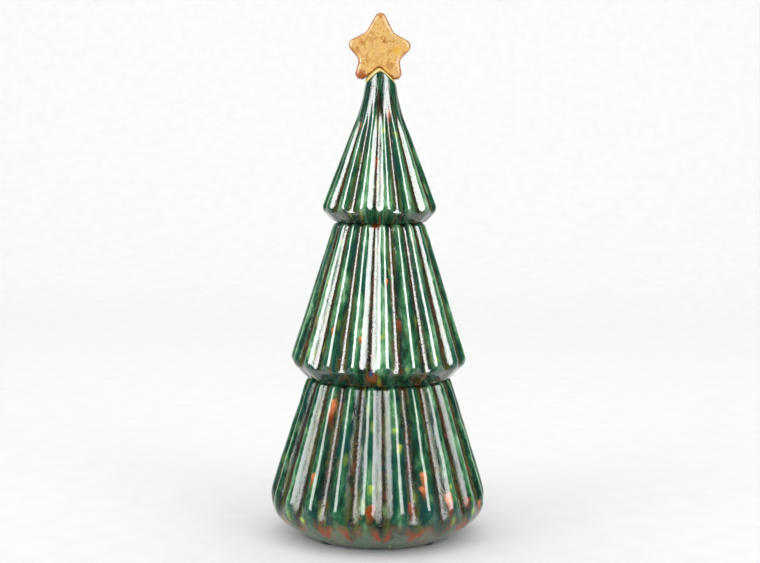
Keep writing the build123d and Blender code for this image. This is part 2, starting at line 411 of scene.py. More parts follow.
def lip_rings(above, corner, below, size, cast):
    """Rings around a rounded lip, whose crests curve in over straight valleys, so that the flutes die out."""
    corner = Vector(corner)
    upward = (Vector(above) - corner).normalized()
    downward = (Vector(below) - corner).normalized()
    half = upward.angle(downward) / 2
    centre = corner + (upward + downward).normalized() * size.lip_round / math.sin(half)
    start = corner + upward * size.lip_round / math.tan(half) - centre
    sweep = math.pi - 2 * half
    rings = []
    for step in range(LIP_STEPS + 1):
        turn = -sweep * step / LIP_STEPS
        spoke = Vector((
            start.x * math.cos(turn) - start.y * math.sin(turn),
            start.x * math.sin(turn) + start.y * math.cos(turn),
        ))
        point = centre + spoke
        depth = max(cast.ripple, size.lip_depth - size.lip_round * (1 - math.cos(turn)))
        rings.append((point.x, point.y, depth))
    return rings


def slope_rings(upper, lower):
    """Rings along a straight slope, between two others."""
    return [tuple(a + (b - a) * part for a, b in zip(upper, lower)) for part in SLOPE_SHARES]


def finger_rings(size, seat, corner):
    """Rings over the rounded ends of the flutes, just under a seat."""
    slope = (corner[0] - size.neck_radius) / (seat - corner[1])
    return [
        (size.neck_radius - tuck + drop * slope, seat - drop, size.neck_depth * part)
        for drop, tuck, part in FINGER_TIPS
    ]


def collar_rings(seat_radius, lip_end, seat, collar, socket, cast):
    """Rings from a lip down its underside, and over the collar into the hollow."""
    hold = 0.35 * MM
    outer = socket - cast.seam
    bore = outer - cast.collar_wall
    end_radius, end_height, end_depth = lip_end
    return [
        ((end_radius + seat_radius) / 2, (end_height + seat) / 2, (end_depth + cast.seat_depth) / 2),
        (seat_radius + 2 * hold, seat + 2 * hold, cast.seat_depth),
        (seat_radius, seat + hold / 2, cast.seat_depth),
        (seat_radius - 2 * hold, seat, cast.seat_depth),
        (outer + hold, seat, 0),
        (outer, seat - hold, 0),
        (outer, collar + hold, 0),
        (outer - hold, collar, 0),
        (bore + hold, collar, 0),
        (bore, collar + hold, 0),
        (bore, seat + cast.wall, 0),
    ]


def hollow_ring(corner, size, cast, walls_up):
    """The widest ring of the hollow, this many walls above a lip's corner."""
    walls_in = 1.6
    return corner[0] - size.lip_depth - walls_in * cast.wall, corner[1] + walls_up * cast.wall, 0


def column_of(place, flutes, turn):
    """Which column of its flute a place is in: 0 on the crest, half of COLUMNS in the valley."""
    around = math.atan2(place.x, -place.y) - turn
    across = around * flutes / math.tau
    return round(abs(across - round(across)) * COLUMNS)


def shape_ring(height, radius, depth, flutes, turn):
    """Moves the columns of the selected ring to their own radii."""
    mesh = edit_mesh()
    ring = [vertex for vertex in mesh.verts if vertex.select]
    columns = [column_of(vertex.co, flutes, turn) for vertex in ring]
    for column, fall in enumerate(COLUMN_SHARES):
        chosen = [vertex for vertex, place in zip(ring, columns) if place == column]
        choose(mesh, chosen)
        scale = (radius - depth * fall) / chosen[0].co.xy.length
        bpy.ops.transform.resize(value=(scale, scale, 1), center_override=(0, 0, height))
    choose(mesh, ring)


def fluted_shell(rings, flutes, turn):
    """A closed shell through (radius, height, flute depth) rings, from an inner rim out, down, in and up."""
    start_radius, start_height = rings[0][:2]
    start_ring(flutes * COLUMNS, start_radius, (0, 0, start_height), (0, 0, turn), fill="NOTHING")
    for (radius, height, depth), above in zip(rings[1:], rings):
        extrude(0, 0, height - above[1])
        shape_ring(height, radius, depth, flutes, turn)


def close_pole(height, reach):
    """Draws the ring at this height, within this radius, together on the axis."""
    mesh = edit_mesh()
    choose(mesh, [v for v in mesh.verts if abs(v.co.z - height) < NEAR and v.co.xy.length < reach])
    bpy.ops.mesh.merge(type="CENTER")


def fire_shell(cast, waver_share, seed):
    """Merges and smooths a fluted shell, and lets the firing move its walls."""
    bpy.ops.mesh.select_all(action="SELECT")
    bpy.ops.mesh.remove_doubles(threshold=NEAR)
    face_outward()
    smooth_form()
    waver = bpy.data.textures.new("kiln_waver", "CLOUDS")
    waver.noise_scale = cast.waver_size
    waver.noise_depth = 2
    shift = bpy.data.objects.new("kiln_shift", None)
    shift.location = (0, 0, seed)
    bpy.context.scene.collection.objects.link(shift)
    bpy.context.view_layer.update()
    apply_modifier(
        "DISPLACE", texture=waver, strength=waver_share * cast.waver, mid_level=0.5, texture_coords="OBJECT",
        texture_coords_object=shift,
    )
    bpy.data.objects.remove(shift)
    bpy.ops.object.shade_smooth()


def finish_tier(scene, name, size, runs, kiln, **finish):
    """Fires and glazes the fluted shell in edit mode. The kiln has its share of the waver, and a seed."""
    fire_shell(scene.tree_cast, *kiln)
    glaze = glaze_material(f"green_glaze_{name}", size, scene.tree_glaze, runs, **finish)
    finish_piece(f"fluted_{name}_tier", f"{name}_tier", glaze)


# Nodes

class Value:
    """A node's output that can be reckoned with. Each sum, difference, product or quotient is a Math node."""

    def __init__(self, socket):
        self.socket = socket
        self.tree = socket.id_data

    def __add__(self, other):
        return maths("ADD", self, other)

    def __radd__(self, other):
        return maths("ADD", other, self)

    def __sub__(self, other):
        return maths("SUBTRACT", self, other)

    def __rsub__(self, other):
        return maths("SUBTRACT", other, self)

    def __mul__(self, other):
        return maths("MULTIPLY", self, other)

    def __truediv__(self, other):
        return maths("DIVIDE", self, other)

    def __rtruediv__(self, other):
        return maths("DIVIDE", other, self)


def put(socket, value):
    """Links an input to a value or a socket, or sets it. A colour gets its alpha."""
    source = getattr(value, "socket", value)
    if isinstance(source, bpy.types.NodeSocket):
        socket.id_data.links.new(source, socket)
    elif socket.type == "RGBA":
        socket.default_value = (*value, 1)
    else:
        socket.default_value = value


def add(tree, kind, inputs=None, **settings):
    """Adds a node, with values or links on its named or numbered inputs."""
    node = tree.nodes.new(kind)
    for name, value in settings.items():
        setattr(node, name, value)
    for name, value in (inputs or {}).items():
        put(node.inputs[name], value)
    return node


def join(kind, inputs, **settings):
    """Adds a node to the tree that its linked inputs are in."""
    tree = next(value.tree for value in inputs.values() if isinstance(value, Value))
    return add(tree, kind, inputs, **settings)


def values_of(node):
    """A node's outputs, by their names in small letters."""
    return SimpleNamespace(**{socket.name.lower(): Value(socket) for socket in node.outputs if socket.name})


def maths(operation, *values, clamp=False):
    """The result of a Math node."""
    node = join("ShaderNodeMath", dict(enumerate(values)), operation=operation, use_clamp=clamp)
    return Value(node.outputs[0])


def swing(value, reach):
    """A texture's value of 0 to 1, as a swing around nothing with this reach."""
    return (value - 0.5) * reach


def hypotenuse(first, second):
    """The distance that two offsets at right angles give."""
    return maths("SQRT", first * first + second * second)


def vectors(operation, first, second):
    """The vector that a Vector Math node gives."""
    return Value(join("ShaderNodeVectorMath", {0: first, 1: second}, operation=operation).outputs[0])


def stretch(vector, along):
    """A vector scaled along the flow, which runs down Z."""
    return vectors("MULTIPLY", vector, (1.0, 1.0, along))


def split(vector):
    """The x, y and z of a vector."""
    return values_of(join("ShaderNodeSeparateXYZ", {0: vector}))


def ease(value, low, high, start=0.0, end=1.0):
    """A smooth step of a value, from start to end between low and high."""
    node = join(
        "ShaderNodeMapRange",
        {"Value": value, "From Min": low, "From Max": high, "To Min": start, "To Max": end},
        interpolation_type="SMOOTHSTEP",
    )
    return Value(node.outputs["Result"])


def mix(amount, first, second):
    """One colour over another."""
    return Value(join("ShaderNodeMix", {0: amount, 6: first, 7: second}, data_type="RGBA").outputs[2])


def ramp(value, *stops):
    """A run of colours over a value, from (place, colour) stops."""
    node = join("ShaderNodeValToRGB", {0: value})
    elements = node.color_ramp.elements
    while len(elements) < len(stops):
        elements.new(1.0)
    for element, (place, tint) in zip(elements, stops):
        element.position = place
        element.color = (*tint, 1)
    return Value(node.outputs["Color"])


def noise(vector, scale, detail=2.0, roughness=0.5, distortion=0.0):
    """The value of a noise texture."""
    node = join("ShaderNodeTexNoise", {
        "Vector": vector, "Scale": scale, "Detail": detail, "Roughness": roughness, "Distortion": distortion,
    })
    return Value(node.outputs["Fac"])


def cells(vector, scale, randomness=1.0):
    """The cells of a Voronoi texture, and three random values for each."""
    settings = {"Vector": vector, "Scale": scale, "Randomness": randomness}
    cell = values_of(join("ShaderNodeTexVoronoi", settings))
    return cell, values_of(join("ShaderNodeSeparateColor", {0: cell.color}))


def new_group(name, inputs, outputs):
    """An empty shader node group: its inputs, and its output sockets. Vector and Flow are vectors."""
    tree = bpy.data.node_groups.new(name, "ShaderNodeTree")
    for side, labels in (("INPUT", inputs), ("OUTPUT", outputs)):
        for label in labels.split():
            kind = "Vector" if label in ("Vector", "Flow") else "Float"
            tree.interface.new_socket(label, in_out=side, socket_type=f"NodeSocket{kind}")
    return values_of(tree.nodes.new("NodeGroupInput")), tree.nodes.new("NodeGroupOutput").inputs


def put_all(sockets, values):
    """Puts named values on sockets of the same names."""
    for label, value in values.items():
        put(sockets[label.capitalize()], value)


def group(name, **inputs):
    """Places a shared node group in the tree that its linked inputs are in."""
    tree = next(value.tree for value in inputs.values() if isinstance(value, Value))
    node = add(tree, "ShaderNodeGroup", node_tree=bpy.data.node_groups[name])
    put_all(node.inputs, inputs)
    return values_of(node)


# Shared glaze effects

def flute_group():
    """Where a point lies on its flute, crest 0 to valley 1, and a place that follows the flow."""
    given, result = new_group("Flute position", "Vector Flutes Turn", "Valley Flow Height Around Radius")
    even_radius, least_radius = 45 * MM, 4 * MM
    place = split(given.vector)
    around = maths("ARCTAN2", place.x, place.y * -1.0)
    across = (around - given.turn) * given.flutes / math.tau
    side = across - maths("ROUND", across)
    radius = hypotenuse(place.x, place.y)
    fair = even_radius / maths("MAXIMUM", radius, least_radius)
    flow = join("ShaderNodeCombineXYZ", {"X": place.x * fair, "Y": place.y * fair, "Z": place.z}).outputs[0]
    valley = maths("ABSOLUTE", side) * 2.0
    put_all(result, dict(valley=valley, flow=flow, height=place.z, around=around, radius=radius))


def tail_below(rise, shortness):
    """The part of a rise that is below nothing, drawn out to a tail."""
    return maths("MINIMUM", rise, 0.0) * shortness


def runs_group():
    """Blotches at random with a round head and a tail that has run down."""
    given, result = new_group("Glaze runs", "Flow Scale Size Tail Amount Shift", "Head Run")
    reach = 3.5 * MM
    wobble = values_of(join("ShaderNodeTexNoise", {"Vector": given.flow, "Scale": 260.0, "Detail": 2.0}))
    shaken = vectors("MULTIPLY", vectors("SUBTRACT", wobble.color, (0.5, 0.5, 0.5)), (reach, reach, reach))
    moved = vectors("ADD", vectors("ADD", given.flow, shaken), given.shift)
    lying = stretch(vectors("MULTIPLY", moved, given.scale), 0.55)
    cell, pick = cells(lying, 1.0, randomness=0.9)
    offset = split(vectors("SUBTRACT", lying, cell.position))
    aside = hypotenuse(offset.x, offset.y)
    above = maths("MAXIMUM", offset.z, 0.0) * 1.6
    present = maths("LESS_THAN", pick.red, given.amount)
    big = given.size * ease(pick.blue, 0.0, 1.0, 0.6, 1.35)
    core = big * 0.1
    run = ease(hypotenuse(aside, above + tail_below(offset.z, given.tail)), core, big, 1.0, 0.0)
    head = ease(hypotenuse(aside, offset.z), core, big, 1.0, 0.0)
    put_all(result, dict(run=run * present, head=head * present))


def placed_run_group():
    """One run at a given angle and height: how strong it is, and how far down its tail."""
    given, result = new_group("Placed run", "Around Radius Height Flow Angle Rise Size Tail", "Run Fall")
    shaken = swing(noise(given.flow, scale=230.0, detail=3.0, roughness=0.6), given.size * 1.7)
    aside = (given.around - given.angle) * given.radius + shaken
    rise = given.height - given.rise + shaken
    below = tail_below(rise, given.tail)
    reach = hypotenuse(aside, maths("MAXIMUM", rise, 0.0) + below)
    fall = maths("DIVIDE", below * -1.0, given.size, clamp=True)
    put_all(result, dict(run=ease(reach / given.size, 0.3, 1.1, 1.0, 0.0), fall=fall))


def specks_group():
    """Fine round specks at random, as pinholes and crystals leave them."""
    given, result = new_group("Specks", "Vector Scale Size Amount", "Mask Random")
    cell, pick = cells(given.vector, given.scale)
    present = maths("LESS_THAN", pick.red, given.amount)
    dot = ease(cell.distance, given.size * 0.15, given.size, 1.0, 0.0)
    put_all(result, dict(mask=dot * present, random=pick.green))


# Materials

def new_material(name):
    """A material with a Principled shader, the shader and object coordinates."""
    material = bpy.data.materials.new(name)
    material.use_nodes = True
    tree = material.node_tree
    tree.nodes.clear()
    shader = add(tree, "ShaderNodeBsdfPrincipled")
    add(tree, "ShaderNodeOutputMaterial", {"Surface": shader.outputs[0]})
    return material, shader, values_of(add(tree, "ShaderNodeTexCoord")).object


def dress(shader, tint, roughness):
    """Gives a shader its colour and roughness."""
    put(shader.inputs["Base Color"], tint)
    put(shader.inputs["Roughness"], roughness)


def emboss(shader, height, strength, depth):
    """Gives a shader a bump of this depth."""
    bump = join("ShaderNodeBump", {"Height": height, "Strength": strength, "Distance": depth})
    put(shader.inputs["Normal"], bump.outputs[0])


def glaze_coat(place, tier, ribs_from, ribs_to, seed):
    """Where a point lies on a fluted tier, and the noises that the layers of its glaze share."""
    coat = group("Flute position", vector=place, flutes=float(tier.flutes), turn=tier.turn)
    coat.place = place
    coat.ribbed = ease(coat.height, ribs_from, ribs_from - 24 * MM) * ease(
        coat.height, ribs_to - 4 * MM, ribs_to + 8 * MM
    )
    coat.fall = FLANK + (coat.valley - FLANK) * coat.ribbed
    moved = vectors("ADD", coat.flow, (seed, seed, seed))
    coat.streaks = noise(stretch(moved, 0.2), scale=330.0, detail=3.0, roughness=0.6, distortion=0.5)
    coat.mottle = noise(stretch(moved, 0.6), scale=165.0, detail=4.0, roughness=0.6, distortion=0.8)
    coat.fine = noise(stretch(moved, 0.7), scale=640.0, detail=3.0, roughness=0.65, distortion=0.4)
    coat.iron = noise(stretch(moved, 0.22), scale=150.0, detail=3.0, roughness=0.6, distortion=0.7)
    coat.drift = noise(moved, scale=32.0)
    coat.loose = swing(coat.streaks, 0.9) + (coat.fall + swing(coat.mottle, 0.7))
    coat.low = ease(coat.height, ribs_to + 8 * MM, ribs_to - 2 * MM)
    return coat


def thick_and_thin(coat, colours, thin):
    """Green glaze, pale where it runs thin over the crests and where a soft glow is painted beside the crest
    highlights, with blue-green drifts.
    """
    # Lighter towards the crests: thin glaze, and a painted glow beside the crest highlights
    crest_thin_and_glow = (FLANK - coat.fall) * 0.24
    thinned = (coat.ribbed - 0.4) * thin
    grain = coat.streaks * 0.45 + (coat.mottle * 0.33 + coat.fine * 0.22)
    glaze = ramp(
        crest_thin_and_glow + swing(coat.drift, -0.35) + thinned + grain,
        (0.36, colours.shade_green), (0.45, colours.deep_green), (0.53, colours.leaf_green),
        (0.61, colours.pale_green), (0.71, colours.mint_and_glow),
    )
    return mix(ease(coat.drift, 0.46, 0.66, 0.0, 0.5), glaze, colours.teal)


def pooled_brown(coat, colours, glaze):
    """Brown glaze that has pooled in the valleys, with olive edges."""
    brown = ramp(
        coat.fine * 0.5 + coat.mottle * 0.5,
        (0.43, colours.umber), (0.52, colours.bark), (0.62, colours.sienna),
    )
    edge = ease(coat.loose, 0.45, 0.75) * ease(coat.iron, 0.42, 0.56, 0.0, 0.8)
    glaze = mix(edge, glaze, colours.olive)
    return mix(ease(coat.loose, 0.64, 0.98, 0.0, 0.95), glaze, brown)


def washed_below(coat, colours, glaze, under, wash, cover):
    """Iron below the flutes, over a painted tint: painted shade on a lip's underside, and on the rounded base
    thin glaze with a painted reflection of the floor.
    """
    # The painted tint below the flutes: painted shade under the lips of the middle and top tiers, a painted
    # reflection of the floor on the bottom tier's base
    covered = coat.low * ease(coat.mottle, 0.4, 0.6, 0.5 * cover, 1.2 * cover)
    washed = coat.low * ease(coat.iron, 0.50, 0.62, 0.0, wash)
    tan = mix(ease(coat.mottle, 0.45, 0.65, 0.0, 0.4), colours.rust, colours.apricot)
    return mix(washed, mix(covered, glaze, under), tan)


def drip_border(coat, colours, glaze, drips):
    """Drips with rusty rims, where the running glaze ends on the thin glaze of the base, which is painted
    pale below them as a painted reflection of the floor.
    """
    arch = ease(coat.valley, 0.0, 1.0, 6 * MM, 0.0)
    over = coat.height - (drips + (arch + swing(coat.mottle, 12 * MM)))
    rim = ease(over, 8 * MM, 0.6 * MM) * ease(over, -0.6 * MM, 0.2 * MM)
    pooled = ease(coat.valley, 0.2, 0.7, 0.25, 1.0)
    rusty = rim * pooled * ease(coat.iron, 0.38, 0.54, 0.1, 0.9)
    # Below the drips: pale celadon, thin glaze with a painted reflection of the floor
    glaze = mix(ease(over, 0.3 * MM, -0.5 * MM, 0.0, 0.8), glaze, colours.celadon_and_floor_sheen)
    return mix(rusty, glaze, colours.rust)


def running_glaze(coat, colours, glaze, runs, seed):
    """Small random runs all round, then the larger ones at their places."""
    kinds = {
        "iron": (colours.apricot, colours.rust), "yellow": (colours.lime, colours.pale_green),
        "rust": (colours.rust, colours.bark), "cobalt": (colours.navy, colours.teal),
        "umber": (colours.umber, colours.bark),
    }
    for number, (kind, scale, amount) in enumerate(SMALL_RUNS):
        head, tail = kinds[kind]
        blots = group(
            "Glaze runs", flow=coat.flow, scale=scale, size=0.22, tail=0.2, amount=amount, shift=seed + number
        )
        glaze = mix(blots.run * 0.7, glaze, mix(blots.head, tail, head))
    grain = ease(coat.fine, 0.3, 0.55, 0.55, 1.0)
    for kind, degrees, rise, size, shortness in runs:
        head, tail = kinds[kind]
        run = group(
            "Placed run", around=coat.around, radius=coat.radius, height=coat.height, flow=coat.flow,
            angle=math.radians(degrees), rise=rise * MM, size=size * MM, tail=shortness,
        )
        fading = ease(run.fall, 0.3, 1.0, 0.9, 0.3)
        glaze = mix(run.run * fading * grain, glaze, mix(ease(run.fall, 0.05, 0.45), head, tail))
    return glaze


def specked(coat, colours, glaze, pinholes):
    """Dark pinholes, coloured flecks and pale crystals."""
    glaze = mix(pinholes * 0.8, glaze, colours.umber)
    flecks = group("Specks", vector=stretch(coat.flow, 0.35), scale=330.0, size=0.6, amount=0.2)
    fleck = ramp(
        flecks.random, (0.2, colours.lime), (0.4, colours.mint_and_glow), (0.6, colours.rust), (0.8, colours.teal)
    )
    glaze = mix(flecks.mask * 0.35, glaze, fleck)
    crystals = group("Specks", vector=coat.place, scale=520.0, size=0.2, amount=0.05)
    return mix(crystals.mask * 0.6, glaze, colours.straw)


def glaze_material(
    name, tier, colours, runs, ribs_from, ribs_to, under, wash, cover, pitting, ior, thin, seed, drips=0.0
):
    """Running green glaze over flutes: pale on crests, from thin glaze and a painted glow beside the
    highlights, umber in valleys, with iron and yellow runs, painted shade under the lips and a painted
    reflection of the floor on the base.
    """
    material, shader, place = new_material(name)
    coat = glaze_coat(place, tier, ribs_from, ribs_to, seed)
    glaze = pooled_brown(coat, colours, thick_and_thin(coat, colours, thin))
    glaze = washed_below(coat, colours, glaze, under, wash, cover)
    if drips:
        glaze = drip_border(coat, colours, glaze, drips)
    glaze = running_glaze(coat, colours, glaze, runs, seed)
    holes = group("Specks", vector=place, scale=640.0, size=0.32, amount=0.45)
    pinholes = holes.mask * ease(coat.loose, 0.45, 0.8)
    glaze = specked(coat, colours, glaze, pinholes)

    # Gloss, with orange peel where the glaze lies thick
    smooth = 1.0 - coat.low * 0.85
    peel = noise(place, scale=950.0) * (ease(coat.loose, 0.12, 0.7, 0.08, 1.0) * smooth)
    rough = ease(coat.loose, 0.12, 0.7, 0.12 * pitting, 0.34 * pitting)
    dress(shader, glaze, rough * smooth)
    emboss(shader, peel - pinholes * 0.9, pitting, 0.18 * MM)
    shader.inputs["IOR"].default_value = ior
    return material


def gold_material(colours, centre, thickness):
    """Honey-gold glaze, rust-brown round the rims, with fine brown specks and mottling."""
    material, shader, place = new_material("gold_glaze")
    mottle = noise(place, scale=300.0, detail=5.0, roughness=0.7, distortion=0.8)
    fine = noise(place, scale=900.0, detail=3.0, roughness=0.6)
    depth = maths("ABSOLUTE", split(place).y) + swing(mottle, 3 * MM)
    half = thickness / 2
    rim = ease(depth, half - 0.3 * MM, half - 1.6 * MM) * ease(depth, half - 5.2 * MM, half - 2.8 * MM)
    gold = ramp(
        mottle, (0.34, colours.bronze), (0.46, colours.honey), (0.54, colours.wheat), (0.66, colours.saffron)
    )
    gold = mix(ease(fine, 0.5, 0.7, 0.0, 0.6), gold, colours.bronze)
    gold = mix(rim * 0.85, gold, colours.amber)
    flat = vectors("MULTIPLY", place, (1.0, 0.0, 1.0))
    for tint, across, up, reach, strength in STAR_PATCHES:
        middle = centre + Vector((across, 0, up)) * MM
        gap = values_of(join("ShaderNodeVectorMath", {0: flat, 1: middle}, operation="DISTANCE")).value
        ragged = gap + swing(mottle, 8 * MM)
        gold = mix(ease(ragged, reach * MM, 0.4 * reach * MM, 0.0, strength), gold, getattr(colours, tint))
    dots = group("Specks", vector=place, scale=560.0, size=0.3, amount=0.2)
    gold = mix(dots.mask * 0.5, gold, colours.amber)
    dress(shader, gold, ease(mottle, 0.3, 0.7, 0.16, 0.3))
    emboss(shader, fine, 0.3, 0.15 * MM)
    shader.inputs["IOR"].default_value = 1.5
    return material


def bead_material(colours):
    """Pale yellow glaze with deeper mottling and yellow-green specks."""
    material, shader, place = new_material("straw_glaze")
    mottle = noise(place, scale=420.0, detail=3.0)
    dots = group("Specks", vector=place, scale=600.0, size=0.25, amount=0.15)
    straw = mix(ease(mottle, 0.4, 0.75, 0.0, 0.4), colours.straw, colours.saffron)
    dress(shader, mix(dots.mask * 0.4, straw, colours.lime), ease(mottle, 0.3, 0.7, 0.1, 0.2))
    emboss(shader, mottle, 0.2, 0.3 * MM)
    return material


def slip_material(colours):
    """Fired slip: dry, sandy clay."""
    material, shader, place = new_material("fired_slip")
    sand = noise(place, scale=900.0, detail=3.0)
    clay = mix(ease(sand, 0.35, 0.7), colours.honey, colours.straw)
    dress(shader, clay, ease(sand, 0.3, 0.7, 0.75, 0.95))
    emboss(shader, sand, 0.4, 0.3 * MM)
    return material


def felt_material(colours):
    """Pressed felt with short tangled fibres."""
    material, shader, place = new_material("pad_felt")
    fibres = noise(place, scale=1600.0, detail=4.0, roughness=0.7, distortion=2.0)
    matted = noise(place, scale=240.0)
    dark, light = ([part * channel for channel in colours.felt] for part in (0.5, 1.5))
    felt = mix(ease(fibres, 0.35, 0.65), dark, colours.felt)
    felt = mix(ease(matted, 0.45, 0.75, 0.0, 0.35), felt, light)
    dress(shader, felt, ease(fibres, 0.3, 0.7, 0.85, 1.0))
    emboss(shader, fibres, 0.8, 0.4 * MM)
    shader.inputs["Sheen Weight"].default_value = 0.4
    return material


def paper_material():
    """Seamless pale paper for the floor and the backdrop."""
    material, shader, place = new_material("pale_paper")
    tooth = noise(place, scale=60.0, detail=3.0)
    paper = mix(ease(tooth, 0.3, 0.7), srgb(247, 247, 247), srgb(250, 250, 250))
    dress(shader, paper, ease(tooth, 0.3, 0.7, 0.75, 0.85))
    shader.inputs["Specular IOR Level"].default_value = 0.2
    return material


def card_material():
    """Matt black card."""
    material, shader, place = new_material("card_black")
    black = mix(ease(noise(place, scale=80.0), 0.3, 0.7), srgb(14, 16, 16), srgb(22, 24, 24))
    dress(shader, black, 0.9)
    return material


# Operators

class TREE_OT_glazes(bpy.types.Operator):
    """Make the node groups that the finishes share"""

    bl_idname = "tree.glazes"
    bl_label = "Make Shared Glaze Effects"

    def execute(self, context):
        flute_group()
        runs_group()
        placed_run_group()
        specks_group()
        return {"FINISHED"}


class TREE_OT_bottom_tier(bpy.types.Operator):
    """Model the bottom tier, from its neck to the foot ring"""

    bl_idname = "tree.bottom_tier"
    bl_label = "Bottom Tier"

    def execute(self, context):
        scene = context.scene
        size, cast = scene.tree_bottom, scene.tree_cast
        corner = (size.corner_radius, FOOT + size.corner_rise)
        fingers = finger_rings(size, LOWER_SEAT, corner)
        lip = lip_rings((size.neck_radius, LOWER_SEAT), corner, (size.foot_radius, FOOT), size, cast)
        end_radius, end_height, end_depth = lip[-1]
        recess = FOOT + size.foot_recess
        floor = recess + cast.wall
        inner_foot = size.foot_radius - size.foot_ring
        hold = 0.5 * MM
        rings = [
            (LOWER_SOCKET, LOWER_SEAT, 0),
            *fingers,
            *slope_rings(fingers[-1], lip[0]),
            *lip,
            ((end_radius + size.foot_radius) / 2, (end_height + FOOT) / 2, end_depth / 4),
            (size.foot_radius + 2 * hold, FOOT + hold, 0),
            (size.foot_radius - hold, FOOT, 0),
            (inner_foot + hold, FOOT, 0),
            (inner_foot, FOOT + hold, 0),
            (inner_foot, recess, 0),
            (inner_foot - hold, recess, 0),
            (size.vent_radius + hold, recess, 0),
            (size.vent_radius, recess + hold, 0),
            (size.vent_radius, floor - hold, 0),
            (size.vent_radius + hold, floor, 0),
            (size.foot_radius - hold, floor, 0),
            hollow_ring(corner, size, cast, walls_up=1.0),
            (LOWER_SOCKET, LOWER_SLIP, 0),
            (LOWER_SOCKET, LOWER_SEAT, 0),
        ]
        fluted_shell(rings, size.flutes, size.turn)
        # The rounded base gets pale celadon: thin glaze with a painted reflection of the floor
        finish_tier(
            scene, "bottom", size, BOTTOM_RUNS, kiln=(0.9, 1.0),
            ribs_from=2 * TIP_TOP, ribs_to=FOOT + 10 * MM, under=scene.tree_glaze.celadon_and_floor_sheen,
            wash=0.8, cover=0.25, pitting=0.75, ior=1.5, thin=-0.03, seed=0.0, drips=FOOT + 7.2 * MM,
        )
        return {"FINISHED"}


class TREE_OT_middle_tier(bpy.types.Operator):
    """Model the middle tier, with the collar that drops into the bottom tier"""

    bl_idname = "tree.middle_tier"
    bl_label = "Middle Tier"

    def execute(self, context):
        scene = context.scene
        size, cast = scene.tree_middle, scene.tree_cast
        seat_radius = scene.tree_bottom.neck_radius
        corner = (seat_radius + size.lip_overhang, LOWER_SEAT + size.lip_rise)
        fingers = finger_rings(size, UPPER_SEAT, corner)
        lip = lip_rings((size.neck_radius, UPPER_SEAT), corner, (seat_radius, LOWER_SEAT), size, cast)
        rings = [
            (UPPER_SOCKET, UPPER_SEAT, 0),
            *fingers,
            *slope_rings(fingers[-1], lip[0]),
            *lip,
            *collar_rings(seat_radius, lip[-1], LOWER_SEAT, LOWER_COLLAR, LOWER_SOCKET, cast),
            hollow_ring(corner, size, cast, walls_up=0.5),
            (UPPER_SOCKET, UPPER_SLIP, 0),
            (UPPER_SOCKET, UPPER_SEAT, 0),
        ]
        fluted_shell(rings, size.flutes, size.turn)
        # The lip's underside gets shade green as painted shade
        finish_tier(
            scene, "middle", size, MIDDLE_RUNS, kiln=(0.55, 2.0),
            ribs_from=2 * TIP_TOP, ribs_to=LOWER_SEAT + 5 * MM, under=scene.tree_glaze.shade_green,
            wash=0.2, cover=0.8, pitting=0.55, ior=1.7, thin=0.05, seed=0.7,
        )
        return {"FINISHED"}


def notch_slope(star):
    """How steeply the star's legs fall away from the corner between them."""
    return (star.leg_drop - star.notch_drop) / star.leg_reach


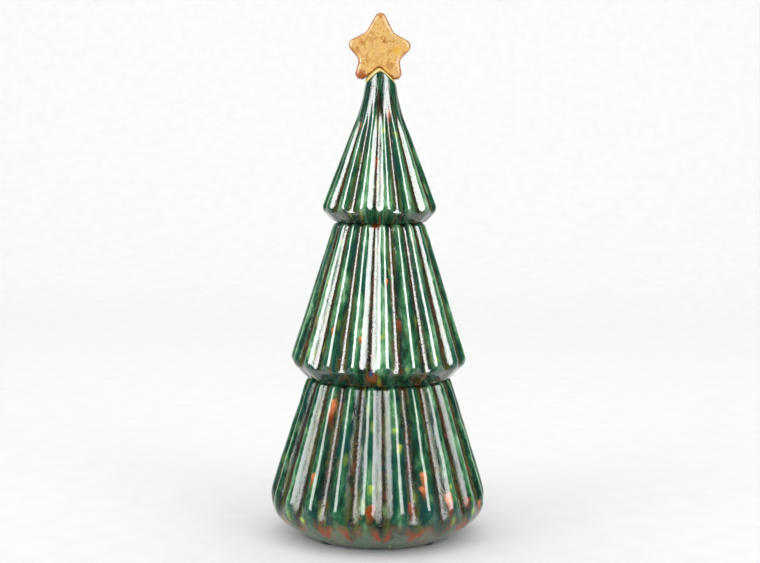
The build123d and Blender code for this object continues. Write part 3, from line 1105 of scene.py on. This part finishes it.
class TREE_OT_top_tier(bpy.types.Operator):
    """Model the top tier, with its flared neck, ridged tip and collar"""

    bl_idname = "tree.top_tier"
    bl_label = "Top Tier"

    def execute(self, context):
        scene = context.scene
        size, cast = scene.tree_top, scene.tree_cast
        seat_radius = scene.tree_middle.neck_radius
        neck_top = UPPER_SEAT + size.height
        flare_end = neck_top - size.flare_length
        corner = (seat_radius + size.lip_overhang, UPPER_SEAT + size.lip_rise)
        flare = self.flare(size, neck_top)
        lip = lip_rings((size.flare_radius, flare_end), corner, (seat_radius, UPPER_SEAT), size, cast)
        crown, apex, spare = 0.4 * MM, 0.5 * MM, 3 * MM
        hollow_top = neck_top - cast.wall
        rings = [
            (crown, TIP_TOP + spare, 0),
            (size.neck_radius, TIP_TOP + spare, 0),
            *flare,
            *slope_rings(flare[-1], lip[0]),
            *lip,
            *collar_rings(seat_radius, lip[-1], UPPER_SEAT, UPPER_COLLAR, UPPER_SOCKET, cast),
            hollow_ring(corner, size, cast, walls_up=0.5),
            (size.flare_radius - size.flare_depth - cast.wall, flare_end, 0),
            (size.neck_radius - cast.wall, hollow_top - cast.wall, 0),
            (apex, hollow_top, 0),
        ]
        fluted_shell(rings, size.flutes, size.turn)
        close_pole(hollow_top, 2 * apex)
        self.ridge(size, scene.tree_star)
        # The lip's underside gets shade green as painted shade
        finish_tier(
            scene, "top", size, TOP_RUNS, kiln=(0.45, 3.0),
            ribs_from=neck_top - 6 * MM, ribs_to=UPPER_SEAT + 4 * MM, under=scene.tree_glaze.shade_green,
            wash=0.15, cover=0.8, pitting=0.5, ior=1.7, thin=0.07, seed=1.3,
        )
        return {"FINISHED"}

    def flare(self, size, neck_top):
        """Rings down the curved stretch below the neck."""
        steps, depth_growth = 5, 2.6
        rings = []
        for step in range(steps + 1):
            part = step / steps
            spread = size.flare_slope * part + (1 - size.flare_slope) * part**2
            rings.append((
                size.neck_radius + (size.flare_radius - size.neck_radius) * spread,
                neck_top - size.flare_length * part,
                size.flare_depth * part**depth_growth,
            ))
        return rings

    def ridge(self, size, star):
        """Cuts the tip to a rounded ridge with hipped ends, as steep as the notch between the star's legs."""
        slope, end, hip = notch_slope(star), star.thickness / 2, size.hip_slope
        ridge_top = TIP_TOP - size.ridge_drop
        cuts = (0, (slope, 0, 1)), (0, (-slope, 0, 1)), (end, (0, hip, 1)), (-end, (0, -hip, 1))
        for depth, normal in cuts:
            bpy.ops.mesh.select_all(action="SELECT")
            bpy.ops.mesh.bisect(
                plane_co=(0, depth, ridge_top), plane_no=normal, use_fill=True, clear_outer=True
            )
        ridge_low, neck_top = ridge_top - 0.05 * MM, UPPER_SEAT + size.height
        choose_parts("EDGE", lambda edge: all(v.co.z > ridge_low for v in edge.verts))
        bpy.ops.mesh.bevel(offset=size.ridge_round, segments=3, affect="EDGES")
        choose_parts("FACE", lambda face: face.calc_center_median().z > neck_top and face.normal.z > 0.5)
        bpy.ops.mesh.inset(thickness=0.6 * MM)
        bpy.ops.mesh.select_mode(type="VERT")


class TREE_OT_star(bpy.types.Operator):
    """Model the star as a rounded plate"""

    bl_idname = "tree.star"
    bl_label = "Star"

    def execute(self, context):
        size = context.scene.tree_star
        centre = Vector((-size.shift, 0, TIP_TOP + size.crown + size.notch_drop))
        notch = centre - Vector((0, 0, size.notch_drop))
        front = -size.thickness / 2
        points = self.outline(size, centre)
        start_ring(len(points), size.hip_reach, centre + Vector((0, front, 0)), (math.pi / 2, 0, 0))
        mesh = edit_mesh()
        mesh.verts.ensure_lookup_table()
        for vertex, point in zip(mesh.verts, points):
            choose(mesh, [vertex])
            bpy.ops.transform.translate(value=Vector((point.x, front, point.y)) - vertex.co)
        bpy.ops.mesh.select_all(action="SELECT")
        extrude(0, size.thickness, 0)
        face_outward()
        choose_parts("EDGE", lambda edge: level(edge, axis=1))
        bpy.ops.mesh.bevel(offset=size.rim_round, segments=5, affect="EDGES")
        plate_corners = 20
        choose_parts("FACE", lambda face: len(face.verts) > plate_corners)
        bpy.ops.mesh.inset(thickness=0.25 * MM, depth=0.02 * MM)
        bpy.ops.mesh.poke()
        bpy.ops.mesh.select_all(action="SELECT")
        bpy.ops.transform.rotate(value=-size.lean, orient_axis="Y", center_override=notch)
        bpy.ops.object.mode_set(mode="OBJECT")
        bpy.ops.object.shade_smooth_by_angle(angle=math.radians(30))
        gold = gold_material(context.scene.tree_glaze, centre, size.thickness)
        finish_piece("gold_star", "star", gold)
        return {"FINISHED"}

    def outline(self, size, centre):
        """Points along the star's outline, with every corner rounded."""
        right = (
            (0, size.top_rise, size.tip_round),
            (size.shoulder_reach, size.shoulder_rise, size.waist_round),
            (size.arm_reach, size.arm_rise, size.arm_round),
            (size.hip_reach, -size.hip_drop, size.waist_round),
            (size.leg_reach, -size.leg_drop, size.tip_round),
            (0, -size.notch_drop, size.notch_round),
        )
        left = [(-reach, rise, rounding) for reach, rise, rounding in reversed(right[1:-1])]
        inner = Vector((-size.leg_reach, size.notch_drop - size.leg_drop))
        leg = inner * (1 + size.left_leg / inner.length)
        left[0] = (leg.x, leg.y - size.notch_drop, size.tip_round)
        corners = [
            (centre.xz + Vector((reach, rise)), rounding) for reach, rise, rounding in (*right, *left)
        ]
        steps = 6
        points = []
        for number, (corner, rounding) in enumerate(corners):
            before = (corners[number - 1][0] - corner).normalized()
            after = (corners[(number + 1) % len(corners)][0] - corner).normalized()
            half = before.angle(after) / 2
            hub = corner + (before + after).normalized() * rounding / math.sin(half)
            start = corner + before * rounding / math.tan(half) - hub
            end = corner + after * rounding / math.tan(half) - hub
            for step in range(steps + 1):
                points.append(hub + start.lerp(end, step / steps).normalized() * rounding)
        return points


class TREE_OT_bead(bpy.types.Operator):
    """Model the bead that seats the star on the tip"""

    bl_idname = "tree.bead"
    bl_label = "Star Bead"

    def execute(self, context):
        size, top = context.scene.tree_star, context.scene.tree_top
        sections = self.sections(size, top)
        ring_corners, lip_share = 12, 0.8
        x, height, depth, half = sections[0]
        start_ring(ring_corners, 1, (x, 0, height), (0, math.pi / 2, 0))
        bpy.ops.transform.resize(value=(1, depth, half), center_override=(x, 0, height))
        for (x, height, depth, half), before in zip(sections[1:], sections):
            extrude(x - before[0], 0, height - before[1])
            bpy.ops.transform.resize(
                value=(1, depth / before[2], half / before[3]), center_override=(x, 0, height)
            )
        mesh = edit_mesh()
        for x, _, depth, _ in sections:
            lip = lip_share * depth
            choose(mesh, [v for v in mesh.verts if abs(v.co.x - x) < NEAR and abs(v.co.y) > lip])
            bpy.ops.transform.translate(value=(0, 0, -size.bead_droop))
        face_outward()
        smooth_form()
        bpy.ops.object.shade_smooth()
        finish_piece("star_bead", "star_saddle", bead_material(context.scene.tree_glaze))
        return {"FINISHED"}

    def sections(self, size, top):
        """Where the bead runs between notch and ridge: across, height, half depth and half height."""
        slope = notch_slope(size)
        soft, ridge, sink, inside, thin = 0.9 * MM, 0.4 * MM, 0.35 * MM, 0.5 * MM, 2.0 * MM
        stations, end_share = 13, 0.7
        sections = []
        for number in range(stations):
            x = (size.bead_left + size.bead_reach) * number / (stations - 1) - size.bead_left
            beside = x + size.shift
            upper = TIP_TOP + size.crown - slope * math.hypot(beside, soft) - size.lean * beside + sink
            lower = TIP_TOP - top.ridge_drop - slope * math.hypot(x, ridge) - sink
            depth = min(size.bead_depth, math.sqrt(max(top.neck_radius**2 - x**2, 0)) - inside)
            end = end_share if number in (0, stations - 1) else 1.0
            sections.append((x, (upper + lower) / 2, end * max(depth, thin), end * (upper - lower) / 2))
        return sections


class TREE_OT_felt_pads(bpy.types.Operator):
    """Model the felt pads under the foot ring"""

    bl_idname = "tree.felt_pads"
    bl_label = "Felt Pads"

    def execute(self, context):
        felt = felt_material(context.scene.tree_glaze)
        rim_corners, rim_round = 40, 0.25 * MM
        for name in sorted(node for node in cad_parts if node.startswith("felt_pad")):
            low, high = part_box(name)
            start_ring(
                rim_corners, (high.x - low.x) / 2, ((low.x + high.x) / 2, (low.y + high.y) / 2, low.z)
            )
            extrude(0, 0, high.z - low.z)
            face_outward()
            choose_parts("EDGE", lambda edge: level(edge, axis=2))
            bpy.ops.mesh.bevel(offset=rim_round, segments=3, affect="EDGES")
            bpy.ops.object.mode_set(mode="OBJECT")
            bpy.ops.object.shade_smooth_by_angle(angle=math.radians(40))
            finish_piece(f"{name}_pressed", name, felt)
        return {"FINISHED"}


class TREE_OT_slip(bpy.types.Operator):
    """Finish the fired slip around the collars"""

    bl_idname = "tree.slip"
    bl_label = "Fired Slip"

    def execute(self, context):
        slip = slip_material(context.scene.tree_glaze)
        for name in ("lower_luting_ring", "upper_luting_ring"):
            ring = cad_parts[name]
            ring.data.materials.clear()
            ring.data.materials.append(slip)
        return {"FINISHED"}


class TREE_OT_studio(bpy.types.Operator):
    """Set up the pale floor, the soft lights and the camera"""

    bl_idname = "tree.studio"
    bl_label = "Studio"

    def execute(self, context):
        size = context.scene.tree_studio
        self.paper()
        self.card()
        self.strips(context.scene, size)
        self.sky(context.scene)
        self.camera(context.scene, size)
        return {"FINISHED"}

    def paper(self):
        """Floor and backdrop in one sweep of paper."""
        start_piece()
        half, back, rise, fold, near = 2.5, 2.0, 2.6, 0.9, 0.01
        bpy.ops.mesh.primitive_plane_add(size=2 * half, location=(0, back - half, 0))
        bpy.ops.object.transform_apply(location=True, rotation=True, scale=True)
        bpy.ops.object.mode_set(mode="EDIT")
        choose_parts("EDGE", lambda edge: all(v.co.y > back - near for v in edge.verts))
        extrude(0, 0, rise)
        choose_parts("EDGE", lambda edge: all(v.co.y > back - near and v.co.z < near for v in edge.verts))
        bpy.ops.mesh.bevel(offset=fold, segments=16, affect="EDGES")
        bpy.ops.object.mode_set(mode="OBJECT")
        bpy.ops.object.shade_smooth()
        paper = bpy.context.object
        paper.name = "paper_sweep"
        paper.data.materials.append(paper_material())

    def card(self):
        """A dark card on the floor in front, which only the gloss sees."""
        start_piece()
        width, in_front, lift = 1, 590 * MM, 2 * MM
        bpy.ops.mesh.primitive_plane_add(size=width, location=(0, -in_front, lift))
        bpy.ops.object.transform_apply(location=True, rotation=True, scale=True)
        card = bpy.context.object
        card.name = "dark_card"
        card.data.materials.append(card_material())
        card.visible_camera = False
        card.visible_diffuse = False
        card.visible_shadow = False

    def strips(self, scene, size):
        """Two tall strip lights that only the gloss sees, and two soft lights in their place for the rest."""
        middle_height = 780 * MM
        kinds = (
            ("strip", size.strip_width, size.strip_power, True),
            ("key", size.key_width, size.key_power, False),
        )
        for name, width, power, gloss in kinds:
            for hand, turn in (("left", -size.left_turn), ("right", size.right_turn)):
                light = bpy.data.lights.new(f"{hand}_{name}", "AREA")
                light.shape = "RECTANGLE"
                light.size = width
                light.size_y = size.strip_height
                light.energy = power
                lamp = bpy.data.objects.new(f"{hand}_{name}", light)
                away = size.strip_distance
                lamp.location = (away * math.sin(turn), -away * math.cos(turn), middle_height)
                lamp.rotation_euler = (math.pi / 2, 0, turn)
                lamp.visible_camera = False
                lamp.visible_glossy = gloss
                lamp.visible_diffuse = not gloss
                scene.collection.objects.link(lamp)

    def sky(self, scene):
        """A pale room to the eye and to the paper, and a dim one in the gloss."""
        world = bpy.data.worlds.new("pale_room")
        scene.world = world
        world.use_nodes = True
        tree = world.node_tree
        tree.nodes.clear()
        path = tree.nodes.new("ShaderNodeLightPath").outputs
        pale, dim, fill = (
            add(tree, "ShaderNodeBackground", {"Color": tint, "Strength": strength}).outputs[0]
            for tint, strength in (((1, 1, 1), 1.0), ((0.8, 0.9, 1.0), 0.08), ((1, 1, 1), 0.95))
        )
        soft = add(tree, "ShaderNodeMixShader", {0: path["Is Diffuse Ray"], 1: dim, 2: fill}).outputs[0]
        seen = add(tree, "ShaderNodeMixShader", {0: path["Is Camera Ray"], 1: soft, 2: pale}).outputs[0]
        add(tree, "ShaderNodeOutputWorld", {"Surface": seen})
        scene.view_settings.view_transform = "Standard"

    def camera(self, scene, size):
        """The camera of the photograph."""
        lens = bpy.data.cameras.new("eye_level")
        lens.sensor_width = 36
        lens.lens = 61.81
        camera = bpy.data.objects.new("eye_level", lens)
        camera.location = (size.camera_side, -size.camera_distance, size.camera_height)
        camera.rotation_euler = (math.pi / 2 - size.camera_tilt, 0, 0)
        camera.rotation_euler.rotate_axis("Z", size.camera_roll)
        scene.collection.objects.link(camera)
        scene.camera = camera


class TREE_PT_sidebar(bpy.types.Panel):
    """Lists the pieces of the tree"""

    bl_idname = "TREE_PT_sidebar"
    bl_label = "Ceramic Tree"
    bl_space_type = "VIEW_3D"
    bl_region_type = "UI"
    bl_category = "Ceramic Tree"

    def draw(self, context):
        for operator in OPERATORS:
            self.layout.operator(operator.bl_idname)
        for name in GROUPS:
            box = self.layout.box()
            settings = getattr(context.scene, name)
            for label in settings.__annotations__:
                box.prop(settings, label)


OPERATORS = (
    TREE_OT_glazes, TREE_OT_bottom_tier, TREE_OT_middle_tier, TREE_OT_top_tier, TREE_OT_star,
    TREE_OT_bead, TREE_OT_felt_pads, TREE_OT_slip, TREE_OT_studio,
)


def register():
    for name, settings in GROUPS.items():
        bpy.utils.register_class(settings)
        setattr(bpy.types.Scene, name, PointerProperty(type=settings))
    for operator in OPERATORS:
        bpy.utils.register_class(operator)
    bpy.utils.register_class(TREE_PT_sidebar)


def unregister():
    bpy.utils.unregister_class(TREE_PT_sidebar)
    for operator in reversed(OPERATORS):
        bpy.utils.unregister_class(operator)
    for name, settings in reversed(GROUPS.items()):
        delattr(bpy.types.Scene, name)
        bpy.utils.unregister_class(settings)


def main():
    register()
    bpy.ops.tree.glazes()
    bpy.ops.tree.bottom_tier()
    bpy.ops.tree.middle_tier()
    bpy.ops.tree.top_tier()
    bpy.ops.tree.star()
    bpy.ops.tree.bead()
    bpy.ops.tree.felt_pads()
    bpy.ops.tree.slip()
    bpy.ops.tree.studio()


if __name__ == "__main__":
    main()
